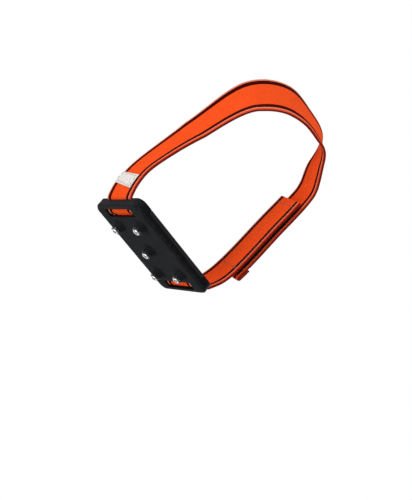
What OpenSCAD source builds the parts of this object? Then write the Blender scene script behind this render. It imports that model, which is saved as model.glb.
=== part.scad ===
// Mid-sole ice cleat: a studded rubber pad held under the arch by a strap that loops over the foot.
// Millimetres. +X is the side with the label, +Y the toe, +Z up.
// The origin is the middle of the face that rests on the sole.

/* [Pad] */
// Length of the pad, across the sole
pad_len = 89; // [86:1:110]
// Width of the pad, heel to toe
pad_wid = 54; // [48:1:64]
// Thickness of the pad, backing included
pad_thk = 7.8; // [7.2:0.1:10]
// Radius of the outline's corners
pad_corner = 6; // [3:0.5:9]
// Chamfer round the ground face
pad_chamfer = 1.4; // [0.4:0.1:2]
// Thickness of the boot-side backing
backing_thk = 3.2; // [2:0.1:3.4]
// Chamfer round the top of the backing
backing_chamfer = 0.6; // [0.2:0.1:1]
// Width of the bar at each end of the pad
bar_wid = 3.6; // [3:0.1:5]
// Width of the strap window beside each bar
window_wid = 7.6; // [6:0.1:9]
// Play between the backing's ends and the pad
backing_play = 0.2; // [0.1:0.05:0.5]
// Radius of the backing's corners
backing_corner = 0.8; // [0.6:0.1:2]
// Width of the rubber between the backing's seat and a window
seat_rim = 0.4; // [0.3:0.1:1]
// Chamfer round the top of the bars
bar_chamfer = 0.4; // [0.2:0.1:0.8]

/* [Studs] */
// Distance between the two stud rows, across the sole
stud_row_gap = 49; // [42:0.5:52]
// Distance between the two studs of a row, heel to toe
stud_pair_gap = 27; // [18:0.5:30]
// Height of a stud above the pad's ground face
stud_height = 7.2; // [6.9:0.1:9]
// Diameter of a rubber boss at its foot
boss_foot_d = 11.8; // [10:0.1:13]
// Diameter of a rubber boss at its top
boss_top_d = 6.9; // [6.8:0.1:8]
// Height of a rubber boss
boss_height = 4.7; // [3.5:0.1:4.9]
// Height of the rings moulded on a boss
boss_ring = 0.22; // [0.1:0.02:0.3]
// Diameter of a steel jacket
jacket_d = 5; // [4.4:0.1:5.4]
// Height of a jacket's end face above the pad
jacket_height = 6.5; // [6.1:0.1:6.7]
// Chamfer round that end face
jacket_chamfer = 0.3; // [0.1:0.1:0.5]
// Diameter of the flange that anchors a jacket
flange_d = 6.8; // [6.4:0.1:6.8]
// Thickness of that flange
flange_thk = 1.2; // [0.8:0.1:1.4]
// Diameter over the teeth of a knurled collar
collar_d = 6.7; // [6.2:0.1:6.8]
// Height of a collar
collar_height = 1.1; // [0.8:0.1:1.2]
// Number of teeth round a collar
collar_teeth = 26; // [18:1:36]
// Depth of the teeth
collar_tooth = 0.28; // [0.15:0.01:0.35]
// Diameter of a carbide pin
pin_d = 2.2; // [1.8:0.1:2.6]
// Length of a carbide pin
pin_len = 5; // [4:0.1:6]
// Radius of a pin's domed tip
pin_dome = 1.7; // [1.4:0.1:3]
// Diameter of the recess round a pin
recess_d = 2.9; // [2.8:0.1:3.4]
// Depth of that recess
recess_depth = 0.6; // [0.3:0.1:1]
// Play round the jackets and pins
stud_play = 0.1; // [0.06:0.02:0.2]

/* [Strap] */
// Width of the webbing
strap_wid = 30; // [25:0.5:30]
// Thickness of the webbing
strap_thk = 2.2; // [1.6:0.1:2.4]
// Play above and below the strap in the pad
tunnel_play = 0.2; // [0.1:0.05:0.4]
// Play at each edge of the strap in the pad
slot_play = 0.7; // [0.4:0.1:1.5]
// Height of the strap's upper face above the boot seat, over the bars
strap_rise = 0.6; // [0:0.1:1]
// Depth of the strap in the windows, behind the pad's ground face
window_dip = 0.8; // [0.6:0.1:1.2]
// Gap between the strap's run in the pad and its loop
exit_gap = 0.3; // [0.3:0.05:0.6]

/* [Loop] */
// Distance of the loop outside the pad's end where it passes the sole's edge
edge_reach = 9; // [8:0.5:16]
// Height of the loop's crest above the boot seat
loop_rise = 144; // [130:1:170]
// Lean of the loop towards the toe, in degrees
loop_lean = 16.5; // [0:0.5:25]
// Length in which the strap turns square to its path beside the pad
settle_len = 14; // [8:1:20]
// Length of the steps that the strap is drawn with
strap_step = 2.5; // [2:0.5:6]

/* [Label] */
// Length of the label along the strap
label_len = 10.4; // [9:0.2:20]
// Width of the label across the strap
label_wid = 23.4; // [16:0.2:24]
// Thickness of the label
label_thk = 0.6; // [0.4:0.1:1]
// Distance of the label from the pad along the strap
label_start = 9.2; // [8:0.2:30]
// Distance of the label from the strap's heel-side edge
label_margin = 0.8; // [0.4:0.1:3]

/* [Closure] */
// Length of the strap's far end above the pad
far_end_len = 104; // [98:0.5:108]
// Distance of the flap's root from the pad, along the far side
flap_root = 110; // [110:0.5:116]
// Distance of the flap's tip from the pad, along the far side
flap_tip = 30; // [26:0.5:34]
// Length of the flap's folded hem
hem_len = 11; // [8:0.5:12]
// Extra thickness of the hem
hem_thk = 1.8; // [1:0.1:2.4]
// Length of the strap over which the outer layer rises
ramp_len = 30; // [24:1:40]
// Distance of the loop patch's lower end from the pad
loop_patch_low = 34; // [32:0.5:38]
// Length of the loop patch
loop_patch_len = 66; // [58:0.5:66]
// Width of the loop patch
loop_patch_wid = 27; // [25:0.5:28]
// Thickness of the loop patch
loop_patch_thk = 1.3; // [0.8:0.1:1.8]
// Length by which the loop patch outruns the hook patch, towards the flap's tip
hook_margin_low = 10; // [8:0.5:16]
// Length by which the loop patch outruns the hook patch, towards the flap's root
hook_margin_high = 4; // [3.5:0.5:10]
// Width of the hook patch
hook_patch_wid = 22; // [18:0.5:22]
// Thickness of the hook patch
hook_patch_thk = 1.3; // [0.8:0.1:1.8]
// Gap between the closed hooks and loops
grip_gap = 0.35; // [0.3:0.05:0.5]
// Gap between pieces sewn on and the strap
sewn_gap = 0.1; // [0.08:0.01:0.2]

/* [Stitches] */
// Length of a stitch
stitch_len = 2.2; // [1.5:0.1:3]
// Width of a stitch
stitch_wid = 0.6; // [0.4:0.05:0.8]
// Height of a stitch
stitch_high = 0.4; // [0.3:0.05:0.5]
// Distance from one stitch to the next
stitch_pitch = 3.2; // [3:0.1:5]
// Distance of a seam from the edge that it follows
seam_inset = 1.3; // [1:0.1:2]

/* [Hidden] */
$fn = 48;
// Length by which a cut runs past the face that it opens
over_cut = 1;
// Depth by which joined shapes run into each other
join = 0.5;
ground_z = -pad_thk;
tip_z = ground_z - stud_height;
run_z = -backing_thk - tunnel_play - strap_thk / 2;
tunnel_floor = run_z - strap_thk / 2 - tunnel_play;
over_z = strap_rise - strap_thk / 2;
bar_top = over_z - strap_thk / 2 - tunnel_play;
slot_len = strap_wid + 2 * slot_play;
window_out = pad_len / 2 - bar_wid;
window_in = window_out - window_wid;
seat_len = 2 * (window_in - seat_rim);
backing_len = seat_len - 2 * backing_play;
flange_low = tunnel_floor - flange_thk;
jacket_end = ground_z - jacket_height;
boss_end = ground_z - boss_height;
stud_places = [
    [0, 0],
    [stud_row_gap / 2, -stud_pair_gap / 2],
    [stud_row_gap / 2, stud_pair_gap / 2],
    [-stud_row_gap / 2, -stud_pair_gap / 2],
    [-stud_row_gap / 2, stud_pair_gap / 2]
];
// Length of straight strap outside the tunnel's mouth
mouth_reach = 0.2;
// Length in which the hem's fold rises from the flap
hem_step = 0.4;
// Distance of the hem's seams from its ends
hem_inset = seam_inset + 0.5;
half_thk = strap_thk / 2;
flap_lift = strap_thk + loop_patch_thk + hook_patch_thk + grip_gap + 2 * sewn_gap;
edge = strap_wid / 2;
label_heel = label_margin - edge;
label_toe = label_heel + label_wid;
loop_half = pad_len / 2 + edge_reach;
hook_patch_low = loop_patch_low + hook_margin_low;
hook_patch_len = loop_patch_len - hook_margin_low - hook_margin_high;

// Stations of the strap's middle line: x, y, z and the tilt of its width
exit_x = pad_len / 2 + exit_gap;
function station(across, up, forward, tilt) =
    [across * loop_half, tan(loop_lean) * up * loop_rise + forward, up * loop_rise, tilt];
stations = [
    [exit_x, 0, over_z, 0],
    [exit_x + 1.2, 0.7, over_z + 1.3, -1],
    station(0.908, 0.048, 0.4, 1),
    station(0.945, 0.105, 0.7, 5),
    station(0.945, 0.19, -0.8, 20),
    station(0.855, 0.472, 2.8, 68),
    station(0.635, 0.812, 0.6, 74),
    station(0.25, 0.958, 0.2, 67),
    station(-0.18, 1, 0, 54),
    station(-0.6, 0.965, 4, 52),
    station(-0.85, 0.79, 5, 42),
    station(-0.955, 0.47, 3.5, 28),
    station(-1, 0.14, 2.5, 16),
    station(-0.93, 0.045, 2.2, 6),
    [-exit_x - 1.6, 0.3, over_z + 0.3, 0],
    [-exit_x, 0, over_z, 0]
];

// Smooth curve through the stations, spaced by the root of the distance between them
function reach(a, b) = norm([a[0] - b[0], a[1] - b[1], a[2] - b[2]]);
function mid(a, b, t, ta, tb) = a * ((tb - t) / (tb - ta)) + b * ((t - ta) / (tb - ta));
function curve(p, q, r, s, f) =
    let(tq = sqrt(reach(p, q)))
    let(tr = tq + sqrt(reach(q, r)))
    let(ts = tr + sqrt(reach(r, s)))
    let(t = tq + f * (tr - tq))
    let(a = mid(p, q, t, 0, tq))
    let(b = mid(q, r, t, tq, tr))
    let(c = mid(r, s, t, tr, ts))
    mid(mid(a, b, t, 0, tr), mid(b, c, t, tq, ts), t, tq, tr);
last = len(stations) - 1;
guides = concat([2 * stations[0] - stations[1]], stations, [2 * stations[last] - stations[last - 1]]);
// Number of points on the curve from one station to the next
fine = 12;
path = concat(
    [for (i = [0:last - 1], j = [0:fine - 1])
        curve(guides[i], guides[i + 1], guides[i + 2], guides[i + 3], j / fine)],
    [stations[last]]
);
count = len(path);
along = [for (i = 0, a = 0; i < count; a = a + reach(path[i], path[min(i + 1, count - 1)]), i = i + 1) a];
total = along[count - 1];
line_x = [for (i = [0:count - 1]) [along[i], path[i][0]]];
line_y = [for (i = [0:count - 1]) [along[i], path[i][1]]];
line_z = [for (i = [0:count - 1]) [along[i], path[i][2]]];
line_t = [for (i = [0:count - 1]) [along[i], path[i][3]]];
function spot(s) = [lookup(s, line_x), lookup(s, line_y), lookup(s, line_z)];
function unit(v) = v / norm(v);
// Lengths at the strap's ends that point straight across, and over which its heading is taken elsewhere
end_len = 0.01;
heading_len = 0.8;
function heading(s) =
    s < end_len || s > total - end_len ? [1, 0, 0] : unit(spot(s + heading_len) - spot(s - heading_len));
function width_guess(s) = [0, cos(lookup(s, line_t)), -sin(lookup(s, line_t))];
function ease(f) = let(g = min(1, max(0, f))) g * g * (3 - 2 * g);
function square(s) = ease(min(s, total - s) / settle_len);
function across(s) = unit(width_guess(s) - square(s) * (width_guess(s) * heading(s)) * heading(s));
function outward(s) = unit(cross(across(s), heading(s)));
// Height of the outer layer, which lies level for a last stretch before the flap's root
level_len = 3;
function lift(s) = flap_lift * ease((s - (total - flap_root - ramp_len)) / (ramp_len - level_len));

// Places on the far side are measured back from the far end of the loop
function far(d) = total - d;

// Flat plate with round corners, chamfered below and above
module plate(l, w, r, low, high, cut_low, cut_high) {
    bar = [
        [-1, low, cut_low], [1, low, cut_low], [1, low + cut_low, 0], [1, high - cut_high, 0],
        [1, high, cut_high], [-1, high, cut_high], [-1, high - cut_high, 0], [-1, low + cut_low, 0]
    ];
    rotate([90, 0, 0])
        linear_extrude(height = w - 2 * r, center = true)
            polygon([for (p = bar) [p[0] * (l / 2 - p[2]), p[1]]]);
    rotate([90, 0, 90])
        linear_extrude(height = l - 2 * r, center = true)
            polygon([for (p = bar) [p[0] * (w / 2 - p[2]), p[1]]]);
    for (x = [-1, 1], y = [-1, 1])
        translate([x * (l / 2 - r), y * (w / 2 - r), 0])
            rotate_extrude()
                polygon([
                    [0, low], [r - cut_low, low], [r, low + cut_low], [r, high - cut_high],
                    [r - cut_high, high], [0, high]
                ]);
}

// Rubber cone round a stud, with two faint rings near its top
module boss() {
    taper = (boss_foot_d - boss_top_d) / 2;
    // Where each ring starts and how long its three flanks are, as shares of the cone
    starts = [0.58, 0.78];
    flank = 0.045;
    rotate_extrude()
        polygon(concat(
            [[0, ground_z + join], [boss_foot_d / 2, ground_z + join], [boss_foot_d / 2, ground_z]],
            [for (start = starts, k = [0:3])
                let(f = start + flank * k)
                let(proud = k == 1 || k == 2 ? boss_ring : 0)
                [boss_foot_d / 2 - taper * f + proud, ground_z - boss_height * f]],
            [[boss_top_d / 2, boss_end], [0, boss_end]]
        ));
}

module sole_pad() {
    color([0.07, 0.07, 0.08])
        difference() {
            union() {
                plate(pad_len, pad_wid, pad_corner, ground_z, 0, pad_chamfer, bar_chamfer);
                for (p = stud_places)
                    translate([p[0], p[1], 0])
                        boss();
            }
            translate([-seat_len / 2, -pad_wid, -backing_thk])
                cube([seat_len, 2 * pad_wid, 2 * backing_thk]);
            translate([-window_in - join, -slot_len / 2, tunnel_floor])
                cube([2 * (window_in + join), slot_len, over_cut - tunnel_floor]);
            for (m = [0, 1])
                mirror([m, 0, 0]) {
                    translate([window_in, -slot_len / 2, ground_z - over_cut])
                        cube([window_wid, slot_len, pad_thk + 2 * over_cut]);
                    translate([window_in, -slot_len / 2, bar_top])
                        cube([pad_len, slot_len, over_cut - bar_top]);
                }
            for (p = stud_places)
                translate([p[0], p[1], 0]) {
                    translate([0, 0, tip_z])
                        cylinder(d = jacket_d + 2 * stud_play, h = stud_height + pad_thk);
                    translate([0, 0, flange_low])
                        cylinder(d = flange_d + 2 * stud_play, h = pad_thk);
                }
        }
}

module pad_backing() {
    color([0.1, 0.1, 0.11])
        intersection() {
            plate(backing_len, pad_wid, backing_corner, -backing_thk, 0, 0, backing_chamfer);
            translate([-pad_len, -pad_wid, -backing_thk])
                cube([2 * pad_len, 2 * pad_wid, 2 * backing_thk]);
        }
}

// Steel jacket with its anchor flange and the socket for the pin
module stud_jacket(i) {
    color([0.82, 0.83, 0.85])
        translate([stud_places[i][0], stud_places[i][1], 0])
            difference() {
                rotate_extrude()
                    polygon([
                        [0, tunnel_floor], [flange_d / 2, tunnel_floor], [flange_d / 2, flange_low],
                        [jacket_d / 2, flange_low], [jacket_d / 2, jacket_end + jacket_chamfer],
                        [jacket_d / 2 - jacket_chamfer, jacket_end], [0, jacket_end]
                    ]);
                translate([0, 0, tip_z])
                    cylinder(d = pin_d + 2 * stud_play, h = pin_len);
                translate([0, 0, jacket_end - over_cut])
                    cylinder(d = recess_d, h = recess_depth + over_cut);
            }
}

// Toothed ring that locks a jacket against its boss
module stud_collar(i) {
    color([0.2, 0.21, 0.23])
        translate([stud_places[i][0], stud_places[i][1], boss_end - collar_height])
            linear_extrude(height = collar_height)
                difference() {
                    polygon([for (k = [0:4 * collar_teeth - 1])
                        let(a = 90 * k / collar_teeth)
                        let(r = collar_d / 2 - (k % 4 < 2 ? 0 : collar_tooth))
                        [r * cos(a), r * sin(a)]]);
                    circle(d = jacket_d + 2 * stud_play);
                }
}

module carbide_pin(i) {
    color([0.42, 0.44, 0.47])
        translate([stud_places[i][0], stud_places[i][1], tip_z])
            intersection() {
                cylinder(d = pin_d, h = pin_len);
                union() {
                    translate([0, 0, pin_dome])
                        sphere(r = pin_dome);
                    translate([0, 0, pin_dome])
                        cylinder(r = pin_dome, h = pin_len);
                }
            }
}

// One face of the strap in the pad, from the tunnel's mouth through a window and over the bar
function run_face(side) =
    let(off = side * half_thk)
    let(bar_turn = half_thk + tunnel_play)
    let(dip_turn = strap_thk + tunnel_play)
    let(dip_z = ground_z + window_dip + half_thk)
    let(mouth = window_in + mouth_reach)
    let(bottom = window_out - bar_turn - dip_turn)
    concat(
        [for (f = [0:0.2:1])
            [mouth + (bottom - mouth) * f, run_z + (dip_z - run_z) * ease(f) - off]],
        [for (a = [18:18:90])
            [bottom + (dip_turn + off) * sin(a), dip_z + dip_turn - (dip_turn + off) * cos(a)]],
        [for (a = [0:18:90])
            [window_out - (bar_turn - off) * cos(a), bar_top + (bar_turn - off) * sin(a)]],
        [[pad_len / 2, over_z - off]]
    );

// Strap inside the pad: over both bars, down into the windows and along the tunnel
module strap_run() {
    low = run_face(1);
    high = run_face(-1);
    last_point = len(low) - 1;
    color([0.95, 0.33, 0.12])
        rotate([90, 0, 0])
            linear_extrude(height = strap_wid, center = true)
                polygon(concat(
                    [for (i = [last_point:-1:0]) [-low[i][0], low[i][1]]],
                    low,
                    [for (i = [last_point:-1:0]) high[i]],
                    [for (p = high) [-p[0], p[1]]]
                ));
}

// Places along the strap, each with the lower and upper height of a band there
function level(from, to, low, high) =
    let(steps = max(2, ceil((to - from) / strap_step)))
    [for (i = [0:steps]) [from + (to - from) * i / steps, low, high]];

// Band that follows the strap through such places, between two widths
module band(places, low_w, high_w) {
    steps = len(places) - 1;
    points = [for (p = places)
        for (c = [[low_w, p[1]], [high_w, p[1]], [high_w, p[2]], [low_w, p[2]]])
            spot(p[0]) + across(p[0]) * c[0] + outward(p[0]) * c[1]];
    sides = [for (i = [0:steps - 1], k = [0:3])
        let(a = 4 * i + k)
        let(b = 4 * i + (k + 1) % 4)
        for (f = [[a, b, b + 4], [a, b + 4, a + 4]]) f];
    e = 4 * steps;
    ends = [[3, 2, 1], [3, 1, 0], [e, e + 1, e + 2], [e, e + 2, e + 3]];
    polyhedron(points = points, faces = concat(sides, ends), convexity = 6);
}

// One stitch lying on the strap, along it or across it
module stitch(s, w, n, turned) {
    t = turned ? across(s) : heading(s);
    c = turned ? -heading(s) : across(s);
    u = outward(s);
    p = spot(s) + across(s) * w + u * (n + sewn_gap + stitch_high / 2);
    multmatrix([
        [t[0], c[0], u[0], p[0]],
        [t[1], c[1], u[1], p[1]],
        [t[2], c[2], u[2], p[2]]
    ])
        cube([stitch_len, stitch_wid, stitch_high], center = true);
}

// Seam round a rectangle on the strap
module seam(from, to, low_w, high_w, n) {
    rows = floor((to - from) / stitch_pitch);
    cols = floor((high_w - low_w) / stitch_pitch);
    for (i = [0:rows - 1], w = [low_w, high_w])
        stitch(from + (to - from) * (i + 0.5) / rows, w, n, false);
    for (i = [0:cols - 1], s = [from, to])
        stitch(s, low_w + (high_w - low_w) * (i + 0.5) / cols, n, true);
}

module strap_over_foot() {
    color([0.95, 0.33, 0.12])
        band(
            [for (p = level(0, far(flap_root), -half_thk, half_thk))
                [p[0], p[1] + lift(p[0]), p[2] + lift(p[0])]],
            -edge, edge
        );
}

module strap_far_end() {
    color([0.95, 0.33, 0.12])
        band(level(far(far_end_len), total, -half_thk, half_thk), -edge, edge);
}

// Free end of the strap, folded over at its tip
module strap_flap() {
    low = flap_lift - half_thk;
    high = flap_lift + half_thk;
    color([0.95, 0.33, 0.12])
        band(
            concat(
                level(far(flap_root - exit_gap), far(flap_tip + hem_len), low, high),
                level(far(flap_tip + hem_len - hem_step), far(flap_tip), low, high + hem_thk)
            ),
            -edge, edge
        );
}

module strap_label() {
    low = half_thk + sewn_gap;
    color([0.88, 0.87, 0.85])
        band(
            level(label_start, label_start + label_len, low, low + label_thk),
            label_heel, label_toe
        );
}

module label_stitching() {
    color([0.75, 0.74, 0.72])
        seam(
            label_start + seam_inset, label_start + label_len - seam_inset,
            label_heel + seam_inset, label_toe - seam_inset,
            half_thk + sewn_gap + label_thk
        );
}

module loop_patch() {
    low = half_thk + sewn_gap;
    color([0.12, 0.12, 0.13])
        band(
            level(far(loop_patch_low + loop_patch_len), far(loop_patch_low), low, low + loop_patch_thk),
            -loop_patch_wid / 2, loop_patch_wid / 2
        );
}

module loop_patch_stitching() {
    color([0.3, 0.3, 0.32])
        seam(
            far(loop_patch_low + loop_patch_len - seam_inset), far(loop_patch_low + seam_inset),
            -loop_patch_wid / 2 + seam_inset, loop_patch_wid / 2 - seam_inset,
            half_thk + sewn_gap + loop_patch_thk
        );
}

module hook_patch() {
    high = flap_lift - half_thk - sewn_gap;
    color([0.09, 0.09, 0.1])
        band(
            level(far(hook_patch_low + hook_patch_len), far(hook_patch_low), high - hook_patch_thk, high),
            -hook_patch_wid / 2, hook_patch_wid / 2
        );
}

module hook_patch_stitching() {
    color([0.85, 0.3, 0.12])
        seam(
            far(hook_patch_low + hook_patch_len - seam_inset), far(hook_patch_low + seam_inset),
            -hook_patch_wid / 2 + seam_inset, hook_patch_wid / 2 - seam_inset,
            flap_lift + half_thk
        );
}

module hem_stitching() {
    rows = floor((strap_wid - 2 * seam_inset) / stitch_pitch);
    color([0.85, 0.3, 0.12])
        for (d = [hem_inset, hem_len - hem_inset], i = [0:rows - 1])
            stitch(
                far(flap_tip + d), (strap_wid - 2 * seam_inset) * ((i + 0.5) / rows - 0.5),
                flap_lift + half_thk + hem_thk, true
            );
}

sole_pad();
pad_backing();
stud_jacket(0);  // stud_jacket_centre
stud_jacket(1);  // stud_jacket_near_heel
stud_jacket(2);  // stud_jacket_near_toe
stud_jacket(3);  // stud_jacket_far_heel
stud_jacket(4);  // stud_jacket_far_toe
stud_collar(0);  // stud_collar_centre
stud_collar(1);  // stud_collar_near_heel
stud_collar(2);  // stud_collar_near_toe
stud_collar(3);  // stud_collar_far_heel
stud_collar(4);  // stud_collar_far_toe
carbide_pin(0);  // carbide_pin_centre
carbide_pin(1);  // carbide_pin_near_heel
carbide_pin(2);  // carbide_pin_near_toe
carbide_pin(3);  // carbide_pin_far_heel
carbide_pin(4);  // carbide_pin_far_toe
strap_run();
strap_over_foot();
strap_far_end();
strap_flap();
strap_label();
label_stitching();
loop_patch();
loop_patch_stitching();
hook_patch();
hook_patch_stitching();
hem_stitching();
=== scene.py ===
import math
import bpy
import numpy as np
from mathutils import Matrix


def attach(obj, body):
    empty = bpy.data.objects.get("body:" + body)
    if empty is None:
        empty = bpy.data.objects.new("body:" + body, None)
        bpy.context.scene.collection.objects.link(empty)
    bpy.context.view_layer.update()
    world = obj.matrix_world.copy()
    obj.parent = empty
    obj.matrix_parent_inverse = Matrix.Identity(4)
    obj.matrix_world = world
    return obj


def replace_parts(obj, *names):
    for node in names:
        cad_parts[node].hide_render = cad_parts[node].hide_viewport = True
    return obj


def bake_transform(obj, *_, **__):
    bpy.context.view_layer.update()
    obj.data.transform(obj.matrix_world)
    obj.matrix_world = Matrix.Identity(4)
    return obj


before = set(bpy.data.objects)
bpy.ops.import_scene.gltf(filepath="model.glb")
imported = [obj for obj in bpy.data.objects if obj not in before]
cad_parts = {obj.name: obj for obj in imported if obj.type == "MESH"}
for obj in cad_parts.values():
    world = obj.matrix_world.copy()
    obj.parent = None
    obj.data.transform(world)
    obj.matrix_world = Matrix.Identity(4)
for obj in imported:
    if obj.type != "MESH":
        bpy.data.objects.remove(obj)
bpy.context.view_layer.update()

mm = 0.001  # sizes below are in millimetres unless a note says otherwise
scene = bpy.context.scene


# Small sums

def unit(v):
    return v / np.linalg.norm(v, axis=-1, keepdims=True)


def ease(f):  # smooth step: 3 f squared less 2 f cubed
    g = np.clip(f, 0, 1)
    return g * g * (3 - 2 * g)


def steps(low, high, size):  # even steps of about this size
    return np.linspace(low, high, max(2, round(abs(high - low) / size) + 1))


def inward(distance):  # moves two ends towards each other
    return np.array([distance, -distance])


def facing(right, back, place):  # matrix of a camera or lamp that looks away from back
    turn = np.eye(4)
    turn[:3, :3] = np.column_stack([right, np.cross(back, right), back])
    turn[:3, 3] = place
    return Matrix(turn.tolist())


# The photographed view: the part from below, rolled
photoView = {
    "place": (279.6, 529.2, -251.3),
    "azimuth": 149.14,  # degrees, 0 looks along +Y
    "elevation": -24.37,
    "roll": 38.17,
    "lens": 64.56,
    "sensor": 36,  # long side of the frame behind the lens
    "clip": 10,  # distance at which the view starts
}


def makeCamera(v):
    azimuth, elevation, roll = (math.radians(v[k]) for k in ("azimuth", "elevation", "roll"))
    flat = math.cos(elevation)
    back = np.array([math.sin(azimuth) * flat, -math.cos(azimuth) * flat, math.sin(elevation)])
    level = unit(np.cross([0, 0, 1], back))
    right = math.cos(roll) * level + math.sin(roll) * np.cross(back, level)
    data = bpy.data.cameras.new("photoCamera")
    data.lens = v["lens"]
    data.sensor_width = v["sensor"]
    data.clip_start = v["clip"] * mm
    camera = bpy.data.objects.new("photoCamera", data)
    scene.collection.objects.link(camera)
    camera.matrix_world = facing(right, back, np.array(v["place"]) * mm)
    scene.camera = camera


makeCamera(photoView)
print("camera: lens", photoView["lens"], "mm")


# Meshes from whole arrays

def tubeFaces(rows, cols, count=1):
    # quads round count tubes of rows rings, the last column joined to the first, and one face at each end
    tube = np.arange(count)[:, None, None] * rows * cols
    ring = np.arange(rows - 1)[None, :, None] * cols
    point = np.arange(cols)[None, None, :]
    after = (point + 1) % cols
    corners = [ring + point, ring + after, ring + cols + after, ring + cols + point]
    sides = np.stack([tube + c for c in corners], -1).reshape(-1, 4)
    first = tube[:, 0] + np.arange(cols)[::-1]
    final = tube[:, 0] + (rows - 1) * cols + np.arange(cols)
    return [sides, np.vstack([first, final])]


def signedVolume(points, faces):
    # sum of the tetrahedra between the origin and each face's fan of triangles
    total = 0.0
    for k in range(1, faces.shape[1] - 1):
        a, b, c = (points[faces[:, i]] for i in (0, k, k + 1))
        total += np.einsum("ij,ij->", a, np.cross(b, c)) / 6
    return total


def addPiece(name, points, faceSets, places, finish, sharp):
    # places are attributes that finishes read; an edge that turns by more than sharp degrees stays crisp
    points = points.reshape(-1, 3)
    if sum(signedVolume(points, f) for f in faceSets) < 0:
        faceSets = [f[:, ::-1] for f in faceSets]  # so that faces point outwards
    mesh = bpy.data.meshes.new(name)
    mesh.from_pydata((points * mm).tolist(), [], [face for f in faceSets for face in f.tolist()])
    for key, values in places.items():
        layer = mesh.attributes.new(key, "FLOAT_VECTOR", "POINT")
        layer.data.foreach_set("vector", values.astype(np.float32).ravel())
    mesh.shade_smooth()
    mesh.set_sharp_from_angle(angle=math.radians(sharp))
    mesh.materials.append(finish)
    piece = bpy.data.objects.new(name, mesh)
    scene.collection.objects.link(piece)
    print("piece:", name, len(mesh.polygons), "faces")
    return piece


# Shader sums

class Wire:  # a socket that takes part in sums
    def __init__(self, socket):
        self.socket = socket

    def make(self, kind, settings=None, inputs=None, out=0):
        tree = self.socket.id_data
        node = tree.nodes.new("ShaderNode" + kind)
        for key, value in (settings or {}).items():
            setattr(node, key, value)
        for key, value in (inputs or {}).items():
            if isinstance(value, Wire):
                tree.links.new(value.socket, node.inputs[key])
            else:
                node.inputs[key].default_value = value
        return Wire(node.outputs[out])

    def math(self, operation, first, second=0.0):
        return self.make("Math", {"operation": operation}, {0: first, 1: second})

    def __add__(self, other):
        return self.math("ADD", self, other)

    def __radd__(self, other):
        return self.math("ADD", other, self)

    def __sub__(self, other):
        return self.math("SUBTRACT", self, other)

    def __rsub__(self, other):
        return self.math("SUBTRACT", other, self)

    def __mul__(self, other):
        return self.math("MULTIPLY", self, other)

    def __rmul__(self, other):
        return self.math("MULTIPLY", other, self)

    def __truediv__(self, other):
        return self.math("DIVIDE", self, other)

    def __abs__(self):
        return self.math("ABSOLUTE", self)

    def root(self):
        return self.math("SQRT", self)

    def larger(self, other):
        return self.math("MAXIMUM", self, other)

    def wave(self, pitch):  # 1 to 0 and back once in each pitch
        return 0.5 + 0.5 * self.math("COSINE", self * (2 * math.pi / pitch))

    def halfStep(self, pitch):  # 0 in even pitches and half in odd ones
        return self.math("FRACT", self.math("FLOOR", self / pitch) * 0.5)

    def rise(self, low, high, scale=1.0):  # smooth step from 0 at low to 1 at high, sizes in units of scale
        ends = {"Value": self, "From Min": low * scale, "From Max": high * scale}
        return self.make("MapRange", {"interpolation_type": "SMOOTHSTEP"}, ends)

    def axes(self):
        parts = self.make("SeparateXYZ", None, {0: self})
        return [Wire(s) for s in parts.socket.node.outputs]

    def noise(self, cloud, scale=1.0):  # cloud gives the width of a patch, in units of scale, and the detail
        width, detail = cloud
        return self.make("TexNoise", None, {"Vector": self, "Scale": 1 / (width * scale), "Detail": detail})

    def tint(self, first, second):  # colour between two, by this factor
        return self.make("Mix", {"data_type": "RGBA"}, {0: self, 6: first, 7: second}, 2)

    def relief(self, depth, strength):  # normals of this height
        return self.make("Bump", None, {"Height": self, "Distance": depth * mm, "Strength": strength})


def addUp(shares, *wires):  # the first share, and each wire times its own
    total = shares[0]
    for wire, share in zip(wires, shares[1:]):
        total = total + wire * share
    return total


def paint(red, green, blue):  # a screen colour, 0 to 255, as the shader takes it: the sRGB curve undone
    part = np.array([red, green, blue]) / 255
    linear = np.where(part <= 0.04045, part / 12.92, ((part + 0.055) / 1.055) ** 2.4)
    return (*linear.tolist(), 1.0)


def startFinish(name, fixed, attribute=None):
    # a material, its shader, and the place on the surface: an attribute or the object's coordinates
    material = bpy.data.materials.new(name)
    material.use_nodes = True
    shader = material.node_tree.nodes["Principled BSDF"]
    for key, value in fixed.items():
        shader.inputs[key].default_value = value
    start = Wire(shader.outputs[0])
    if attribute:
        return material, shader, start.make("Attribute", {"attribute_name": attribute}, out="Vector")
    return material, shader, start.make("TexCoord", out="Object")


def feed(shader, wires):
    for key, wire in wires.items():
        shader.id_data.links.new(wire.socket, shader.inputs[key])


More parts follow.
